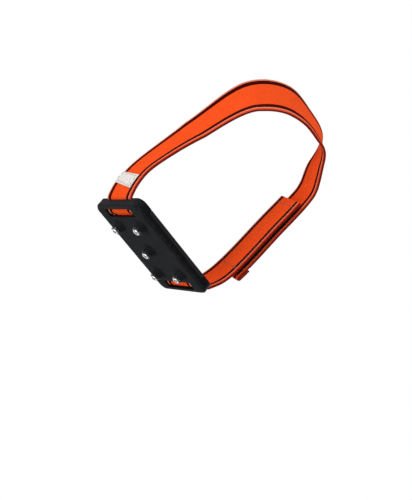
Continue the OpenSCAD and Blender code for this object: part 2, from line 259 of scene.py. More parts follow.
# Webbing: warp ribs, picks that alternate from rib to rib, stripes by the place across, painted shade in the
# hollows of the weave and on the strap's outer edges.
# Here and below, light, height and rough give a plain value first, and then the share of each pattern
# that is named beside them
webbing = {
    "width": 30,
    "thickness": 2.2,
    "edgeRound": 1.0,
    "edgeTurn": (67, 40, 14, -14, -40, -67),  # degrees of the points round an edge
    "ribs": 24,
    "ribPoints": (4, 2),  # to each rib, on the outer and the inner face
    "ribDepth": 0.14,
    "pick": 1.8,
    "pickDepth": 0.07,
    "sharp": 40,
    "yarn": 0.45,
    "yarnSlant": 0.6,
    "stripes": ((-13.2, -9.8), (9.3, 12.1)),  # across the strap: heel side, toe side
    "waver": 0.3,  # how far the stripes wander
    "waverCloud": (1.4, 3.0),  # patch and detail, as in every cloud
    "soft": 0.12,  # half the width of a change of yarn
    "paleWidth": 1.0,  # of the pale yarn outside a stripe
    "rim": 14.55,  # place across where the painted shade on the strap's outer edges starts
    "fieldTones": (paint(226, 60, 14), paint(254, 95, 38)),
    "stripeTones": (paint(34, 2, 1), paint(74, 8, 4)),
    "paleTones": (paint(208, 106, 80), paint(248, 150, 122)),
    "edgeTones": (paint(206, 56, 24), paint(242, 88, 46)),
    # dark red painted as shade on the strap's outer edges
    "rimTones": (paint(92, 14, 6), paint(140, 34, 18)),
    "cloud": (3.0, 5.0),
    "light": (-0.05, 0.3, 0.2, 0.15, 0.5),  # rib, pick, yarn, cloud; rib, pick and yarn paint shade in the weave's hollows
    "height": (0.0, 0.4, 0.3, 0.3),  # rib, pick, yarn
    "rough": (0.88, -0.16),  # light
    "relief": (0.12, 0.5),  # depth and strength
    "specular": 0.02,
}
ribPitch = (webbing["width"] - 2 * webbing["edgeRound"]) / webbing["ribs"]
halfWeb = webbing["thickness"] / 2


def webbingFinish(w):
    fixed = {"Specular IOR Level": w["specular"]}
    material, shader, place = startFinish("orangeWebbing", fixed, "weavePlace")
    across, along, _ = place.axes()
    rib = across.wave(ribPitch)
    pick = (along + (across + ribPitch / 2).halfStep(ribPitch) * w["pick"]).wave(w["pick"])
    yarn = (along + across * w["yarnSlant"]).wave(w["yarn"])
    # rib, pick and yarn waves darken the colour in the weave's hollows as painted shade; the cloud is the
    # yarn's own uneven tone
    light = addUp(w["light"], rib, pick, yarn, place.noise(w["cloud"]))
    waver = across + (place.noise(w["waverCloud"]) - 0.5) * w["waver"]  # stripes waver with the weave

    def past(wire, spot):
        return wire.rise(spot - w["soft"], spot + w["soft"])

    def between(low, high):
        return past(waver, low) * (1 - past(waver, high))

    heelStripe, toeStripe = w["stripes"]
    dark = between(*heelStripe).larger(between(*toeStripe))
    inside = between(heelStripe[0], toeStripe[1])
    beyond = (waver - toeStripe[1]).larger(heelStripe[0] - waver)
    field, stripe, pale, edge, rim = (
        light.tint(*w[k + "Tones"]) for k in ("field", "stripe", "pale", "edge", "rim")
    )
    # past the rim, round the strap's edges, the selvedge takes the dark red painted as shade
    selvedge = past(abs(across), w["rim"]).tint(past(beyond, w["paleWidth"]).tint(pale, edge), rim)
    feed(shader, {
        "Base Color": dark.tint(inside.tint(selvedge, field), stripe),
        "Roughness": addUp(w["rough"], light),
        "Normal": addUp(w["height"], rib, pick, yarn).relief(*w["relief"]),
    })
    return material


webFinish = webbingFinish(webbing)


# The strap's way round the foot: stations give the share of the reach across, the share of the rise,
# the step forward and the tilt of the width in degrees, from the label's side to the far side
loop = {
    "padEnd": 44.5,  # distances from the middle of the pad
    "windowIn": 33.3,
    "windowOut": 40.9,
    "overBar": -0.5,  # heights of the strap's middle
    "inTunnel": -4.5,
    "inWindow": -5.9,
    "mouthGap": 0.2,  # from a window's inner wall to the start of the step down
    "barTurn": 1.3,  # radius of the middle line round a bar's corner
    "dipTurn": 2.4,
    "turnRows": 9,
    "dipRow": 0.45,
    "row": 0.9,
    "exitGap": 0.3,
    "nearStep": (1.2, 0.7, 1.3, -1),  # from the label's end of the pad: across, forward, up and tilt
    "farStep": (-1.6, 0.3, 0.3, 0),
    "reach": 53.5,
    "rise": 144,
    "lean": 16.5,  # of the loop towards the toe, in degrees
    "stations": [
        (0.908, 0.048, 0.4, 1),
        (0.945, 0.105, 0.7, 5),
        (0.945, 0.19, -0.8, 20),
        (0.855, 0.472, 2.8, 68),
        (0.635, 0.812, 0.6, 74),
        (0.25, 0.958, 0.2, 67),
        (-0.18, 1, 0, 54),
        (-0.6, 0.965, 4, 52),
        (-0.85, 0.79, 5, 42),
        (-0.955, 0.47, 3.5, 28),
        (-1, 0.14, 2.5, 16),
        (-0.93, 0.045, 2.2, 6),
    ],
    "finePoints": 40,  # from one station to the next
    "headingReach": 0.8,  # length to each side over which the heading is taken
    "endReach": 0.01,  # length at each end that heads straight across
    "settle": 14,  # length at each end in which the width comes square to the heading
    "farEnd": 104,  # lengths up the far side from the pad
    "flapRoot": 110,
    "flapTip": 30,
    "ramp": 30,  # length before the flap's root in which the outer layer rises
    "rampLevel": 3,  # last part of it, which is level
    "lift": 5.35,  # height of the outer layer over the far end
    "hem": 11,
    "hemBlend": 4,  # length in which the flap thins towards its hem
    "foldRadius": 1.0,
    "foldHalf": 0.96,  # half thickness at the hem
    "foldRows": 10,
    "peelBend": 12,  # length in which the flap bends away from its root
    "bendLow": 0.5,  # heights between which the strap turns with the loop
    "bendHigh": 27,
}


def routeOf(r):
    # curve through the stations: blends of blends of neighbours, spaced by the root of their distance
    share = np.array(r["stations"], float)
    forward = math.tan(math.radians(r["lean"])) * share[:, 1] * r["rise"] + share[:, 2]
    body = np.column_stack([share[:, 0] * r["reach"], forward, share[:, 1] * r["rise"], share[:, 3]])
    near = np.array([r["padEnd"] + r["exitGap"], 0, r["overBar"], 0])
    far = near * [-1, 1, 1, 1]
    line = np.vstack([near, near + r["nearStep"], body, far + r["farStep"], far])
    guides = np.vstack([2 * line[0] - line[1], line, 2 * line[-1] - line[-2]])
    a, b, c, d = (guides[i:len(guides) - 3 + i, None, :] for i in range(4))

    def span(p, q):
        return np.sqrt(np.linalg.norm((q - p)[..., :3], axis=-1, keepdims=True))

    tb = span(a, b)
    tc = tb + span(b, c)
    td = tc + span(c, d)
    t = tb + (tc - tb) * np.linspace(0, 1, r["finePoints"], endpoint=False)[None, :, None]

    def mix(p, q, low, high):
        return p * (high - t) / (high - low) + q * (t - low) / (high - low)

    ab, bc, cd = mix(a, b, 0, tb), mix(b, c, tb, tc), mix(c, d, tc, td)
    curve = mix(mix(ab, bc, 0, tc), mix(bc, cd, tb, td), tb, tc)
    return np.vstack([curve.reshape(-1, 4), line[-1:]])


routeLine = routeOf(loop)
routeAt = np.append(0, np.cumsum(np.linalg.norm(np.diff(routeLine[:, :3], axis=0), axis=1)))
routeTotal = routeAt[-1]
print("strap: loop of", round(routeTotal, 1), "mm")


def routeSpot(s):
    return np.stack([np.interp(s, routeAt, routeLine[:, k]) for k in range(3)], -1)


def strapFrame(s):
    # centre, width direction and outward direction at lengths s along the loop
    s = np.asarray(s, float)
    heading = unit(routeSpot(s + loop["headingReach"]) - routeSpot(s - loop["headingReach"]))
    ends = (s < loop["endReach"]) | (s > routeTotal - loop["endReach"])
    heading = np.where(ends[..., None], [1.0, 0.0, 0.0], heading)
    tilt = np.radians(np.interp(s, routeAt, routeLine[:, 3]))
    across = np.stack([0 * tilt, np.cos(tilt), -np.sin(tilt)], -1)
    square = ease(np.minimum(s, routeTotal - s) / loop["settle"])[..., None]
    across = unit(across - square * np.sum(across * heading, -1, keepdims=True) * heading)
    return routeSpot(s), across, unit(np.cross(across, heading))


def onStrap(s, across, out):
    # point at a length along the loop, a place across the strap and a height over its middle
    centre, side, outward = strapFrame(s)
    return centre + side * np.asarray(across)[..., None] + outward * np.asarray(out)[..., None]


def farSide(d):  # length along the loop of a place measured up from the pad on the far side
    return routeTotal - d


def layerLift(s):  # height of the outer layer, which rises before the flap's root
    start = farSide(loop["flapRoot"] + loop["ramp"])
    return loop["lift"] * ease((s - start) / (loop["ramp"] - loop["rampLevel"]))


def webProfile(w, half, along):
    # outline of the webbing for the half thickness and length of each row: elliptical edges, and faces sunk
    # by a cosine between the ribs and, on each rib, at every other half pick
    flat = w["width"] / 2 - w["edgeRound"]
    outer, inner = (np.linspace(-flat, flat, n * w["ribs"] + 1) for n in w["ribPoints"])
    turn = np.radians(w["edgeTurn"])
    edge = flat + w["edgeRound"] * np.cos(turn)
    across = np.concatenate([outer, edge, inner[::-1], -edge])
    side = np.concatenate([np.ones(len(outer)), np.sin(turn), -np.ones(len(inner)), -np.sin(turn)])
    ribbed = np.abs(side) == 1
    groove = 0.5 - 0.5 * np.cos(2 * np.pi * across / ribPitch)
    pickRow = np.round(2 * along / w["pick"])[:, None]
    weft = np.cos(np.pi * np.floor(across / ribPitch + 0.5)) * np.cos(np.pi * pickRow)
    hollow = ribbed * (w["ribDepth"] * groove + w["pickDepth"] * (0.5 + 0.5 * weft) * (1 - groove))
    height = side * (np.asarray(half)[:, None] - hollow)
    return np.stack([np.broadcast_to(across, height.shape), height], -1)


def sweptWeb(name, centre, across, half, finish):
    # the webbing's outline carried along a line of centres
    heading = unit(np.gradient(centre, axis=0))
    outward = unit(np.cross(across, heading))
    along = np.append(0, np.cumsum(np.linalg.norm(np.diff(centre, axis=0), axis=1)))
    profile = webProfile(webbing, half, along)
    points = centre[:, None] + across[:, None] * profile[..., :1] + outward[:, None] * profile[..., 1:]
    reached = np.broadcast_to(along[:, None], profile.shape[:2])
    place = np.stack([profile[..., 0], reached, profile[..., 1]], -1)
    faces = tubeFaces(*profile.shape[:2])
    return addPiece(name, points, faces, {"weavePlace": place}, finish, webbing["sharp"])


def runThroughPad(r):
    # middle line in the pad: tunnel, smooth step down in a window, two quarter turns round the bar, and out
    mouth = r["windowIn"] + r["mouthGap"]
    bottom = r["windowOut"] - r["barTurn"] - r["dipTurn"]
    tunnel = steps(0, mouth, r["row"])[:-1]
    down = steps(mouth, bottom, r["dipRow"])
    drop = ease((down - mouth) / (bottom - mouth))
    turn = np.linspace(0, np.pi / 2, r["turnRows"])
    flat = steps(r["windowOut"], r["padEnd"], r["row"])[1:]
    x = np.concatenate([
        tunnel,
        down,
        bottom + r["dipTurn"] * np.sin(turn[1:]),
        r["windowOut"] - r["barTurn"] * np.cos(turn),
        flat,
    ])
    z = np.concatenate([
        np.full(len(tunnel), r["inTunnel"]),
        r["inTunnel"] + (r["inWindow"] - r["inTunnel"]) * drop,
        r["inWindow"] + r["dipTurn"] * (1 - np.cos(turn[1:])),
        r["overBar"] + r["barTurn"] * (np.sin(turn) - 1),
        np.full(len(flat), r["overBar"]),
    ])
    half = np.stack([x, 0 * x, z], -1)
    return np.vstack([half[:0:-1] * [-1, 1, 1], half])


def strapBand():
    # far end, run through the pad and layer over the foot, in one length
    far = steps(farSide(loop["farEnd"]), routeTotal, loop["row"])
    over = steps(0, farSide(loop["flapRoot"]), loop["row"])
    run = runThroughPad(loop)
    centre = np.vstack([onStrap(far, 0 * far, 0 * far), run, onStrap(over, 0 * over, layerLift(over))])
    across = np.vstack([strapFrame(far)[1], np.tile([0.0, 1.0, 0.0], (len(run), 1)), strapFrame(over)[1]])
    piece = sweptWeb("strap_band", centre, across, np.full(len(centre), halfWeb), webFinish)
    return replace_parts(piece, "strap_run", "strap_over_foot", "strap_far_end")


def strapFlap():
    # outer layer down to its tip, half a turn there, and back along the hem
    root, tip = farSide(loop["flapRoot"]), farSide(loop["flapTip"])
    foldAt = tip - loop["foldRadius"] - loop["foldHalf"]
    down = steps(root, foldAt, loop["row"])
    back = steps(foldAt, tip - loop["hem"], loop["row"])[1:]
    turn = np.linspace(-np.pi / 2, np.pi / 2, loop["foldRows"])[1:]
    into = ease((down - (tip - loop["hem"] - loop["hemBlend"])) / loop["hemBlend"])
    lowest = loop["lift"] - (halfWeb - loop["foldHalf"])
    s = np.concatenate([down, foldAt + loop["foldRadius"] * np.cos(turn), back])
    out = np.concatenate([
        loop["lift"] + (lowest - loop["lift"]) * into,
        lowest + loop["foldRadius"] * (1 + np.sin(turn)),
        np.full(len(back), lowest + 2 * loop["foldRadius"]),
    ])
    half = np.concatenate([
        halfWeb + (loop["foldHalf"] - halfWeb) * into,
        np.full(len(turn) + len(back), loop["foldHalf"]),
    ])
    piece = sweptWeb("strap_flap_band", onStrap(s, 0 * s, out), strapFrame(s)[1], half, webFinish)
    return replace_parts(piece, "strap_flap")


def bendWithLoop(piece):  # bakes the piece's place into its mesh
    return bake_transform(piece)


def bendWithFlap(piece):  # bakes the piece's place into its mesh
    root = farSide(loop["flapRoot"])
    start, after = onStrap(np.array([root, root + 1]), np.zeros(2), np.full(2, loop["lift"]))
    heading = unit(after - start)
    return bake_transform(piece, "loop", "flap", start * mm, (start + loop["peelBend"] * heading) * mm)


bendWithLoop(strapBand())
bendWithFlap(strapFlap())


# Tapes sewn on the strap: thin slabs with round edges that follow it
tapes = {
    "gap": 0.02,  # from the strap
    "edge": 0.12,  # thickness left at the edges
    "seamInset": 1.3,
    "dentReach": 0.5,  # to each side of a seam that draws the tape in
    "sharp": 60,
    "cloud": (2.5, 5.0),
    "light": (-0.05, 0.4, 0.7),  # weave, cloud; the weave paints shade in its hollows
    "hollowRough": 0.12,
    "relief": (0.06, 0.5),
    "specular": 0.3,
}


def tapeSlab(name, ends, sides, low, thickness, finish, cell, dent=0.0):
    # height over low: a quarter round at the edges, less a bell-shaped dent along the seam;
    # a tape with a negative thickness stands inwards
    s = steps(*ends, cell)
    w = steps(*sides, cell)
    fromEdge = np.minimum.outer(np.minimum(s - s[0], s[-1] - s), np.minimum(w - w[0], w[-1] - w))
    full = abs(thickness)
    crown = np.sqrt(1 - (1 - np.clip(fromEdge / full, 0, 1)) ** 2)
    pucker = dent * np.exp(-((fromEdge - tapes["seamInset"]) / tapes["dentReach"]) ** 2)
    top = low + np.sign(thickness) * (tapes["edge"] + (full - tapes["edge"]) * crown - pucker)
    out = np.concatenate([top, np.full(top.shape, low)], 1)
    along, across = np.broadcast_arrays(s[:, None], np.concatenate([w, w[::-1]]))
    points = onStrap(along, across, out)
    place = np.stack([across, along, out], -1)
    return addPiece(name, points, tubeFaces(*out.shape), {"tapePlace": place}, finish, tapes["sharp"])


def tapeFinish(name, colours, weave, rough):
    # plain woven tape: warp and weft waves of the weave's two pitches, which also darken the colour in the
    # weave's hollows as painted shade
    material, shader, place = startFinish(name, {"Specular IOR Level": tapes["specular"]}, "tapePlace")
    across, along, _ = place.axes()
    warp, weft = weave
    crest = across.wave(warp) * 0.5 + (along + across.halfStep(warp) * weft).wave(weft) * 0.5
    feed(shader, {
        "Base Color": addUp(tapes["light"], crest, place.noise(tapes["cloud"])).tint(*colours),
        "Roughness": rough + tapes["hollowRough"] * (1 - crest),
        "Normal": crest.relief(*tapes["relief"]),
    })
    return material


# Stitches: short threads that arch a little and dive at both ends
thread = {
    "length": 2.3,
    "width": 0.62,
    "height": 0.5,
    "pitch": 3.2,  # from one stitch to the next
    "sides": 6,
    "rings": 8,
    "tip": 0.97,  # share of the half length where the end rings stand
    "arch": 0.12,  # rise of a thread's middle
    "dive": 0.22,  # fall from there to its ends
    "tapeSink": 0.08,  # of threads and fibres in a tape
    "webSink": 0.1,  # of threads in the webbing
    "sharp": 80,
    "shift": (7.3, 3.1),  # of the pattern, by the place along and across, so that threads differ
    "twist": 2.6,  # turns of the plies in a millimetre
    "cloud": (0.8, 3.0),
    "light": (0.0, 0.6, 0.5),  # twist, cloud; the twist paints shade between the plies
    "rough": (0.75, -0.15),  # twist
    "relief": (0.1, 0.7),
    "specular": 0.3,
    "sheen": 0.15,
}


def evenly(low, high):  # middles of the stitches in a row
    count = int((high - low) // thread["pitch"])
    return low + (high - low) * (np.arange(count) + 0.5) / count


def stitchRows(ends, sides):
    # places round a rectangle on the strap: length, place across, and whether it lies across
    along, over = evenly(*ends), evenly(*sides)
    s = np.concatenate([np.repeat(along, 2), np.tile(ends, len(over))])
    w = np.concatenate([np.tile(sides, len(along)), np.repeat(over, 2)])
    return s, w, np.arange(len(s)) >= 2 * len(along)


def stitches(name, places, levels, finish):
    # threads on the outer and the inner face, at the two levels; each has x along it from -1 to 1,
    # radius root of 1 - x^4, and a height over its face that falls with x^4
    s0, w0, turned = (np.tile(p, 2)[:, None, None] for p in places)
    face = np.repeat([1, -1], len(places[0]))[:, None, None]
    level = np.repeat(levels, len(places[0]))[:, None, None]
    x = np.linspace(-thread["tip"], thread["tip"], thread["rings"])[None, :, None]
    angle = np.linspace(0, 2 * np.pi, thread["sides"], endpoint=False)[None, None, :]
    radius = np.sqrt(1 - x**4)
    middle = thread["arch"] - thread["dive"] * x**4
    length = thread["length"] / 2 * x + 0 * angle
    side = thread["width"] / 2 * radius * np.cos(angle) * face
    up = level + face * (middle + thread["height"] / 2 * radius * np.sin(angle))
    s = s0 + np.where(turned, -side, length)
    w = w0 + np.where(turned, length, side)
    shift = s0 * thread["shift"][0] + w0 * thread["shift"][1]
    place = np.stack(np.broadcast_arrays(length, angle, shift), -1)
    faces = tubeFaces(thread["rings"], thread["sides"], len(s0))
    return addPiece(name, onStrap(s, w, up), faces, {"threadPlace": place}, finish, thread["sharp"])


def threadFinish(name, colours):
    fixed = {"Sheen Weight": thread["sheen"], "Specular IOR Level": thread["specular"]}
    material, shader, place = startFinish(name, fixed, "threadPlace")
    along, around, _ = place.axes()
    twist = (along * thread["twist"] + around / (2 * math.pi)).wave(1)  # plies wound round the thread, with painted shade between them
    feed(shader, {
        "Base Color": addUp(thread["light"], twist, place.noise(thread["cloud"])).tint(*colours),
        "Roughness": addUp(thread["rough"], twist),
        "Normal": twist.relief(*thread["relief"]),
    })
    return material


# Label: bare tape with a seam all round
label = {
    "start": 9.2,  # length along the loop from the pad
    "length": 10.4,
    "width": 23.4,
    "margin": 0.8,  # from the strap's heel-side edge
    "thickness": 0.6,
    "cell": 0.4,
    "dent": 0.16,
    "tape": (paint(210, 203, 199), paint(242, 236, 232)),
    "weave": (0.5, 0.42),
    "rough": 0.55,
    "thread": (paint(150, 148, 146), paint(214, 212, 208)),
}


def makeLabel(b):
    ends = np.array([b["start"], b["start"] + b["length"]])
    sides = np.array([0, b["width"]]) + b["margin"] - webbing["width"] / 2
    low = halfWeb + tapes["gap"]
    tape = tapeFinish("labelTape", b["tape"], b["weave"], b["rough"])
    body = tapeSlab(
        "label_tape", ends, sides, low, b["thickness"], tape, b["cell"], b["dent"],
    )
    bendWithLoop(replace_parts(body, "strap_label"))
    rows = stitchRows(ends + inward(tapes["seamInset"]), sides + inward(tapes["seamInset"]))
    levels = low + b["thickness"] - thread["tapeSink"], thread["webSink"] - halfWeb
    seam = stitches("label_seam", rows, levels, threadFinish("labelThread", b["thread"]))
    bendWithLoop(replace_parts(seam, "label_stitching"))


makeLabel(label)


# Closure: pile tape on the far end, hook tape inside the flap, their seams and the hem's
closure = {
    "pileLow": 34,  # lengths up the far side from the pad
    "hookLow": 44,
    "pileLength": 66,
    "hookLength": 52,
    "pileWidth": 27,
    "hookWidth": 22,
    "tapeThickness": 0.5,
    "cell": 0.9,
    "border": 2.3,  # bare tape round the pile and the hooks
    "hemSeams": (2.5, 9.2),  # from the flap's tip
    "seed": 7,
    "fibre": 0.09,  # radius
    "fibreSides": 4,
    "sharp": 80,
    "pilePitch": 1.15,
    "pileLoose": 0.35,  # share of the pitch by which a loop may stand off its place
    "pileRings": 6,
    "pileHeight": 0.95,
    "pileHeights": (0.75, 1.05),  # least and most share of it
    "pileReach": 0.45,  # half the width of a loop
    "pileReaches": (0.7, 1.1),
    "hookPitch": 1.3,
    "hookLoose": 0.06,
    "hookHeight": 0.85,
    "hookStem": (0, 0.45, 0.6, 0.6, 0.6, 0.6, 0.6),  # share of the height, ring by ring
    "hookTurn": (0, 0, 30, 80, 130, 180, 215),  # degrees round the crook
    "hookRadius": 0.24,
    "pile": (paint(20, 20, 23), paint(58, 58, 64)),
    "pileWeave": (0.6, 0.5),
    "pileRough": 0.8,
    "hooks": (paint(14, 14, 16), paint(40, 41, 46)),
    "hookWeave": (0.7, 0.7),
    "hookRough": 0.45,
    "patchThread": (paint(40, 40, 44), paint(92, 92, 98)),
    "strapThread": (paint(190, 52, 16), paint(244, 104, 50)),
}


def fibres(name, s0, w0, path, base, heading, finish):
    # small tubes: path gives the reach and the height of each ring, heading the way each one leans
    reach, high = path
    aim = np.stack([np.cos(heading), np.sin(heading)], -1)
    line = np.stack([
        s0[:, None] + aim[:, :1] * reach,
        w0[:, None] + aim[:, 1:] * reach,
        base + high,
    ], -1)
    along = unit(np.gradient(line, axis=1))
    side = np.stack([-aim[:, 1], aim[:, 0], 0 * aim[:, 0]], -1)[:, None]
    up = np.cross(side, along)
    angle = np.linspace(0, 2 * np.pi, closure["fibreSides"], endpoint=False)[None, None, :, None]
    circle = np.cos(angle) * side[:, :, None] + np.sin(angle) * up[:, :, None]
    ring = line[:, :, None] + closure["fibre"] * circle
    points = onStrap(ring[..., 0], ring[..., 1], ring[..., 2])
    place = np.stack([ring[..., 0], ring[..., 1], np.broadcast_to(high[..., None], ring.shape[:3])], -1)
    faces = tubeFaces(ring.shape[1], closure["fibreSides"], len(s0))
    return addPiece(name, points, faces, {"tapePlace": place}, finish, closure["sharp"])


def scatter(ends, sides, pitch, draw, loose):
    # places on a grid inside the border, each moved a little
    border = inward(closure["border"])
    s, w = np.meshgrid(steps(*(ends + border), pitch), steps(*(sides + border), pitch), indexing="ij")
    jump = draw.uniform(-loose, loose, (2, s.size)) * pitch
    return s.ravel() + jump[0], w.ravel() + jump[1]


def patchRoom(low, length, width):  # ends and sides of a patch on the far side
    return farSide(np.array([low + length, low])), np.array([-0.5, 0.5]) * width


def makeLoopPatch(c, draw):
    # each pile loop is half an ellipse that stands on the tape
    ends, sides = patchRoom(c["pileLow"], c["pileLength"], c["pileWidth"])
    low = halfWeb + tapes["gap"]
    finish = tapeFinish("pileTape", c["pile"], c["pileWeave"], c["pileRough"])
    pile = tapeSlab("loop_tape", ends, sides, low, c["tapeThickness"], finish, c["cell"])
    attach(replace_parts(pile, "loop_patch"), "loop")
    s0, w0 = scatter(ends, sides, c["pilePitch"], draw, c["pileLoose"])
    turn = np.linspace(0, np.pi, c["pileRings"])
    high = np.outer(draw.uniform(*c["pileHeights"], len(s0)), np.sin(turn)) * c["pileHeight"]
    reach = np.outer(draw.uniform(*c["pileReaches"], len(s0)), -c["pileReach"] * np.cos(turn))
    heading = draw.uniform(0, np.pi, len(s0))
    root = low + c["tapeThickness"] - thread["tapeSink"]
    fuzz = fibres("loop_pile", s0, w0, (reach, high), root, heading, finish)
    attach(fuzz, "loop")
    rows = stitchRows(ends + inward(tapes["seamInset"]), sides + inward(tapes["seamInset"]))
    levels = root, thread["webSink"] - halfWeb
    seamFinish = threadFinish("patchThread", c["patchThread"])
    seam = stitches("loop_tape_seam", rows, levels, seamFinish)
    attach(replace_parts(seam, "loop_patch_stitching"), "loop")


def makeHookPatch(c, draw, seamFinish):
    # each hook is a stem and an arc, and every other one turns the other way
    ends, sides = patchRoom(c["hookLow"], c["hookLength"], c["hookWidth"])
    under = loop["lift"] - halfWeb - tapes["gap"]
    finish = tapeFinish("hookTape", c["hooks"], c["hookWeave"], c["hookRough"])
    tape = tapeSlab("hook_tape", ends, sides, under, -c["tapeThickness"], finish, c["cell"])
    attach(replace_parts(tape, "hook_patch"), "flap")
    s0, w0 = scatter(ends, sides, c["hookPitch"], draw, c["hookLoose"])
    turn = np.radians(c["hookTurn"])
    crook = c["hookRadius"] * (1 - np.cos(turn))
    high = -(np.array(c["hookStem"]) * c["hookHeight"] + c["hookRadius"] * np.sin(turn))
    shape = (np.tile(crook, (len(s0), 1)), np.tile(high, (len(s0), 1)))
    heading = np.where(np.arange(len(s0)) % 2 == 0, 0, np.pi)
    root = under - c["tapeThickness"] + thread["tapeSink"]
    crooks = fibres("hook_crooks", s0, w0, shape, root, heading, finish)
    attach(crooks, "flap")
    rows = stitchRows(ends + inward(tapes["seamInset"]), sides + inward(tapes["seamInset"]))
    levels = loop["lift"] + halfWeb - thread["webSink"], root
    seam = stitches("hook_tape_seam", rows, levels, seamFinish)
    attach(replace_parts(seam, "hook_patch_stitching"), "flap")


def makeHem(c, seamFinish):
    half = webbing["width"] / 2 - tapes["seamInset"]
    over = evenly(-half, half)
    seamsAt = farSide(loop["flapTip"] + np.array(c["hemSeams"]))
    rows = np.repeat(seamsAt, len(over)), np.tile(over, 2), np.full(2 * len(over), True)
    hemLow = loop["lift"] - halfWeb
    hemHigh = hemLow + 2 * (loop["foldHalf"] + loop["foldRadius"])
    levels = hemHigh - thread["webSink"], hemLow + thread["webSink"]
    seam = stitches("hem_seam", rows, levels, seamFinish)
    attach(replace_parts(seam, "hem_stitching"), "flap")


def makeClosure(c):
    draw = np.random.default_rng(c["seed"])
    strapThread = threadFinish("strapThread", c["strapThread"])
    makeLoopPatch(c, draw)
    makeHookPatch(c, draw, strapThread)
    makeHem(c, strapThread)


makeClosure(closure)


# Pad: hatched ground face over the solid, and rubber finishes
pad = {
    "length": 2 * loop["padEnd"],
    "width": 54,
    "thickness": 7.8,
    "corner": 6,
    "chamfer": 1.4,
    "window": (loop["windowIn"], loop["windowOut"]),
    "windowLength": 31.4,
    "studs": {
        "centre": (0, 0),
        "near_heel": (24.5, -13.5),
        "near_toe": (24.5, 13.5),
        "far_heel": (-24.5, -13.5),
        "far_toe": (-24.5, 13.5),
    },
    "studClear": 4.4,  # radius round a stud that stays without hatching
    "rib": 0.86,  # pitch of the hatching
    "ribHalf": 0.26,
    "ribHeight": 0.24,
    "crossShare": 0.4,  # of that height, for the ribs across
    "margin": 0.9,  # plain border of the ground face
    "fade": 0.7,  # width in which the ribs come up
    "skirt": 0.4,  # reach of the skin into the border
    "sunk": 0.1,  # depth of the skirt in the solid
    "proud": 0.03,  # height of the valleys over the solid
    "skin": 0.6,  # depth of the skin's underside in the solid
    "sharp": 25,
    "rubber": (paint(10, 10, 12), paint(28, 29, 32)),
    "scuff": paint(60, 62, 66),
    "scuffWidth": 2.2,
    "scuffFade": 1.2,
    "scuffHeights": (2.6, 1.2),  # over the ground face, where scuffs start and are full
    "scuffCloud": (1.2, 4.0),
    "scuffEdge": (0.5, 0.72),
    "scuffShare": 0.6,
    "crestStart": 0.05,  # depths below the ground face
    "bossFull": 0.8,
    # share of painted light on the bosses, which face sideways and get less light
    "bossPaintedLight": 0.5,
    "leastWear": 0.5,
    "bloom": (9, 6.0),
    "grain": (0.35, 2.0),
    "light": (-0.15, 0.8, 0.4),  # bloom, grain
    "rough": (0.5, 0.18, 0.2),  # bloom, scuffs
    "relief": (0.05, 0.5),
    "looks": {  # gloss, more light, wear of the crests
        "padRubber": (0.06, 0.0, 0.0),
        "ribbedRubber": (0.06, 0.0, 0.45),
        "backingRubber": (0.35, 0.15, 0.0),
    },
}


def fromBox(dx, dy):  # distance outside a box, negative inside, from how far x and y pass its sides
    return np.hypot(np.maximum(dx, 0), np.maximum(dy, 0)) + np.minimum(np.maximum(dx, dy), 0)


def padRoom(p, x, y):
    # distance inside the flat of the ground face: rounded outline less the chamfer, and clear of the windows
    dx = np.abs(x) - (p["length"] / 2 - p["corner"])
    dy = np.abs(y) - (p["width"] / 2 - p["corner"])
    outline = fromBox(dx, dy) - p["corner"]
    middle, half = sum(p["window"]) / 2, (p["window"][1] - p["window"][0]) / 2
    window = fromBox(np.abs(np.abs(x) - middle) - half, np.abs(y) - p["windowLength"] / 2)
    return np.minimum(-outline - p["chamfer"], window)


def hatchedFace(p, finish):
    # height: ribs at 45 degrees, and fainter ribs across them in the valleys, each (1 - (d / half)^2)
    cell = p["rib"] / math.sqrt(2) / 2
    alongPad, acrossPad = (np.arange(-p[k] / 2, p[k] / 2, cell) for k in ("length", "width"))
    x, y = np.meshgrid(alongPad, acrossPad, indexing="ij")

    def ribs(way):
        turns = (x + way * y) / math.sqrt(2) / p["rib"]
        return 1 - np.clip(np.abs(turns - np.round(turns)) * p["rib"] / p["ribHalf"], 0, 1) ** 2

    relief = np.maximum(ribs(1), p["crossShare"] * ribs(-1))
    room = padRoom(p, x, y) - p["margin"]
    shown = ease(room / p["fade"])
    ground = -p["thickness"]
    top = ground + p["sunk"] * (1 - shown) - shown * (p["proud"] + p["ribHeight"] * relief)
    keep = room > -p["skirt"]
    for cx, cy in p["studs"].values():
        keep &= np.hypot(x - cx, y - cy) > p["studClear"]
    cells = keep[:-1, :-1] & keep[1:, :-1] & keep[1:, 1:] & keep[:-1, 1:]
    rows, cols = x.shape
    layer = rows * cols
    i, j = np.nonzero(cells)
    ring = [(i + a) * cols + j + b for a, b in ((0, 0), (1, 0), (1, 1), (0, 1))]
    upper = np.stack(ring, -1)
    faces = [upper, upper[:, ::-1] + layer]
    fringe = np.pad(cells, 1)
    for k, (a, b) in enumerate(((0, -1), (1, 0), (0, 1), (-1, 0))):  # walls where a neighbour is missing
        bare = ~fringe[i + 1 + a, j + 1 + b]
        p0, p1 = ring[k][bare], ring[(k + 1) % 4][bare]
        faces.append(np.stack([p1, p0, p0 + layer, p1 + layer], -1))
    faces = np.vstack(faces)
    points = np.vstack([
        np.stack([x, y, top], -1).reshape(-1, 3),
        np.stack([x, y, np.full(x.shape, ground + p["skin"])], -1).reshape(-1, 3),
    ])
    used, again = np.unique(faces, return_inverse=True)
    faceSets = [again.reshape(faces.shape)]
    return addPiece("pad_hatching", points[used], faceSets, {}, finish, p["sharp"])


